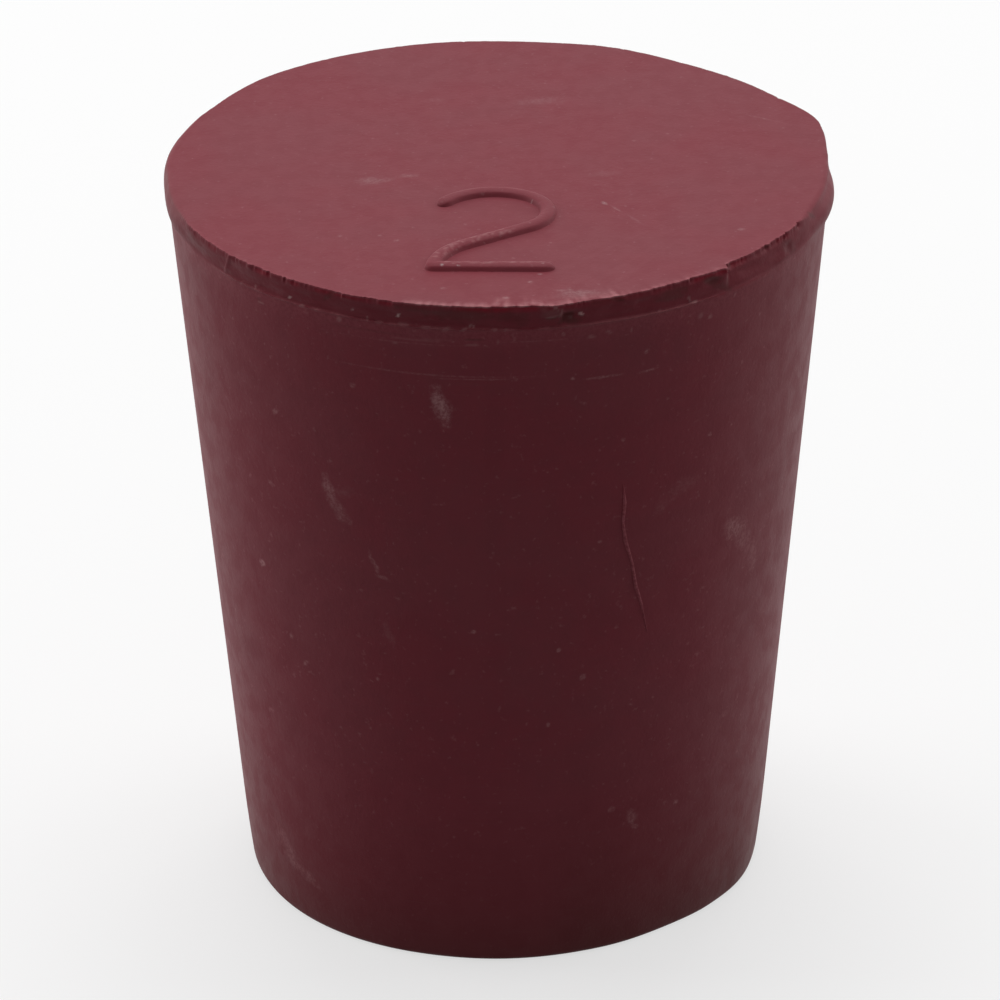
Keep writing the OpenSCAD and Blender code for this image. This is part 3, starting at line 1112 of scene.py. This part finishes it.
for plan, marks, face in (
    (flat_side, side_marks, on_flank_mask),
    (flat_top, top_marks, on_face),
):
    loose = vector_calc(tree, "ADD", plan, wander)
    marked = 0.0
    for first, second, turn, half_l, half_w, amount in marks:
        mark = tree.nodes.new("ShaderNodeGroup")
        mark.node_tree = chalk_mark
        if marks is side_marks:
            first = math.radians(first) * unroll_r
        is_wide = half_l > 0.25 and half_w > 0.06
        feed(tree, mark.inputs["Place"], loose if is_wide else plan)
        feed(tree, mark.inputs["Centre"], (first, second, 0))
        feed(tree, mark.inputs["Turn"], (0, 0, math.radians(turn)))
        feed(tree, mark.inputs["Size"], (half_l, half_w, 1000))
        feed(tree, mark.inputs["Amount"], amount)
        feed(tree, mark.inputs["Ragged"], ragged)
        marked = calc(tree, "MAXIMUM", mark.outputs["Mask"], marked)
    chalked = calc(tree, "MULTIPLY_ADD", marked, face, chalked)
broken = fade(tree, grain(tree, place, 11.0, 3.0, 0.65), 0.36, 0.62, 0.30, 1.0)
chalk_here = tint(tree, on_face, chalk, faint_chalk)
colour = tint(tree, calc(tree, "MULTIPLY", chalked, broken), colour, chalk_here)
# Pale flakes of dust, with the painted highlight on the soft lip, the parting line, the rim and
# the number's crest, and the painted sheen at the sides.
colour = tint(tree, shown["pale_dust_and_highlight"], colour, pale_flake_and_highlight)

# Specks of dust, some larger, of which the cut band and the foot hold less. The rim of the top
# face, the parting line and the thread are pale from rubbing, and the rim and the parting line
# also carry a painted highlight.
speck = tree.nodes.new("ShaderNodeTexVoronoi")
speck.feature = "F1"
feed(tree, speck.inputs["Vector"], place)
feed(tree, speck.inputs["Scale"], 1.5)
speck_size = tree.nodes.new("ShaderNodeSeparateColor")
feed(tree, speck_size.inputs[0], speck.outputs["Color"])
speck_r = fade(tree, speck_size.outputs[0], 0.72, 1.0, 0.0001, 0.080)
from_speck = calc(tree, "DIVIDE", speck.outputs["Distance"], speck_r)
dot = calc(tree, "SUBTRACT", 1.0, from_speck, clamp=True)
fine_dust = fade(tree, grain(tree, place, 6.5, 2.0, 0.5), 0.62, 0.80, 0.0, 0.14)
loose_dust = calc(tree, "MULTIPLY_ADD", dot, 0.28, fine_dust)
kept_dust = calc(tree, "MULTIPLY_ADD", shown["fresh_cut"], -0.75, 1.0)
kept_dust = calc(tree, "MULTIPLY", kept_dust, fade(tree, z_mm, 1.5, 6.5, 0.3, 1.0))
colour = tint(tree, calc(tree, "MULTIPLY", loose_dust, kept_dust), colour, chalk_here)
held = fade(tree, broken, 0.3, 1.0, 0.20, 0.85)
# Rubbed edges, and painted highlight along the lip and the parting line.
colour = tint(tree, calc(tree, "MULTIPLY", shown["edge_dust_and_highlight"], held), colour, rubbed_and_highlight_red)

# Relief too fine to model: the grain of the mould.
relief = calc(tree, "MULTIPLY", grain(tree, place, 7.0, 3.0, 0.6), 0.010)
bump = tree.nodes.new("ShaderNodeBump")
feed(tree, bump.inputs["Strength"], 1.0)
feed(tree, bump.inputs["Distance"], mm)
feed(tree, bump.inputs["Height"], relief)

surface = tree.nodes.new("ShaderNodeBsdfPrincipled")
feed(tree, surface.inputs["IOR"], 1.5)
feed(tree, surface.inputs["Specular IOR Level"], 0.12)
feed(tree, surface.inputs["Sheen Weight"], 0.04)
feed(tree, surface.inputs["Sheen Roughness"], 0.30)
feed(tree, surface.inputs["Base Color"], colour)
feed(tree, surface.inputs["Roughness"], fade(tree, mottle, 0.0, 1.0, 0.52, 0.62))
feed(tree, surface.inputs["Normal"], bump.outputs[0])
finish = tree.nodes.new("ShaderNodeOutputMaterial")
tree.links.new(surface.outputs[0], finish.inputs["Surface"])

bpy.ops.object.select_all(action="DESELECT")
bpy.context.view_layer.objects.active = stopper
stopper.select_set(True)
bpy.ops.object.shade_smooth_by_angle(angle=math.radians(38))
weigh = stopper.modifiers.new("even_shading", "WEIGHTED_NORMAL")
weigh.keep_sharp = True
bpy.ops.object.modifier_apply(modifier=weigh.name)
stopper.data.materials.clear()
stopper.data.materials.append(rubber)
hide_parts("stopper")
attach(stopper, "root")


# ---------------------------------------------------------------------------
# The floor: a pale sheet under the stopper. It shows white around the object and
# keeps its soft shadow, and it throws only a little light back up.

bpy.ops.object.select_all(action="DESELECT")
bpy.ops.mesh.primitive_plane_add(size=1.6, location=(0, 0, 0))
floor = bpy.context.active_object
floor.name = "floor"


def looked_at(tree):
    """1 where a ray looks at something, straight or by a reflection, and 0 otherwise."""
    rays = tree.nodes.new("ShaderNodeLightPath")
    direct = calc(tree, "MAXIMUM", rays.outputs["Is Camera Ray"], rays.outputs["Is Glossy Ray"])
    return calc(tree, "MAXIMUM", direct, rays.outputs["Is Transmission Ray"])


sheet = bpy.data.materials.new("pale_floor")
sheet.use_nodes = True
tree = sheet.node_tree
tree.nodes.clear()
seen = looked_at(tree)
unseen_grey = (0.10, 0.10, 0.10, 1)
seen_white = (0.95, 0.95, 0.95, 1)
paper = tree.nodes.new("ShaderNodeBsdfDiffuse")
feed(tree, paper.inputs["Color"], tint(tree, seen, unseen_grey, seen_white))
glow = tree.nodes.new("ShaderNodeEmission")
feed(tree, glow.inputs["Strength"], 1.0)
lift = tree.nodes.new("ShaderNodeMixShader")
feed(tree, lift.inputs[0], calc(tree, "MULTIPLY", seen, 0.62))
tree.links.new(paper.outputs[0], lift.inputs[1])
tree.links.new(glow.outputs[0], lift.inputs[2])
finish = tree.nodes.new("ShaderNodeOutputMaterial")
tree.links.new(lift.outputs[0], finish.inputs["Surface"])
floor.data.materials.append(sheet)


# ---------------------------------------------------------------------------
# Light: three large soft boxes, one over the stopper and one far round each side,
# and a dim surround. The top face is lit fully, and the front is in soft shade.

fill = 0.325
box_size = 0.25
box_far = 0.40
middle = Vector((0, 0, height / 2)) * mm
for name, azimuth, elevation, power in (
    ("soft_box_over", 180, 70, 0.81),
    ("soft_box_left", -110, 20, 0.62),
    ("soft_box_right", 110, 20, 0.40),
):
    a = math.radians(azimuth)
    e = math.radians(elevation)
    box = bpy.data.lights.new(name, "AREA")
    box.shape = "SQUARE"
    box.size = box_size
    box.energy = power
    lamp = bpy.data.objects.new(name, box)
    bpy.context.scene.collection.objects.link(lamp)
    toward = Vector((math.sin(a) * math.cos(e), -math.cos(a) * math.cos(e), math.sin(e)))
    lamp.location = toward * box_far + middle
    lamp.rotation_mode = "QUATERNION"
    lamp.rotation_quaternion = toward.to_track_quat("Z", "Y")
    lamp.visible_camera = False

world = bpy.data.worlds.new("surround")
bpy.context.scene.world = world
world.use_nodes = True
tree = world.node_tree
tree.nodes.clear()
seen = looked_at(tree)
sky = tree.nodes.new("ShaderNodeBackground")
feed(tree, sky.inputs["Color"], (1, 1, 1, 1))
feed(tree, sky.inputs["Strength"], fade(tree, seen, 0.0, 1.0, fill, 1.0))
finish = tree.nodes.new("ShaderNodeOutputWorld")
tree.links.new(sky.outputs[0], finish.inputs["Surface"])


# ---------------------------------------------------------------------------
# The camera: a long lens from the front, well above the top face.

camera = bpy.data.objects.new("camera", bpy.data.cameras.new("camera"))
bpy.context.scene.collection.objects.link(camera)
camera.data.lens = 267.28
camera.data.sensor_width = 36
camera.data.clip_start = 0.01
camera.data.clip_end = 5
stand = Vector((0, -179.596, 98.008))
aim = Vector((-0.0376, 0.1081, 10.2209))
camera.location = stand * mm
camera.rotation_mode = "QUATERNION"
roll = Quaternion((0, 0, 1), math.radians(-0.572))
camera.rotation_quaternion = (aim - stand).to_track_quat("-Z", "Y") @ roll
bpy.context.scene.camera = camera
bpy.context.scene.view_settings.view_transform = "Standard"
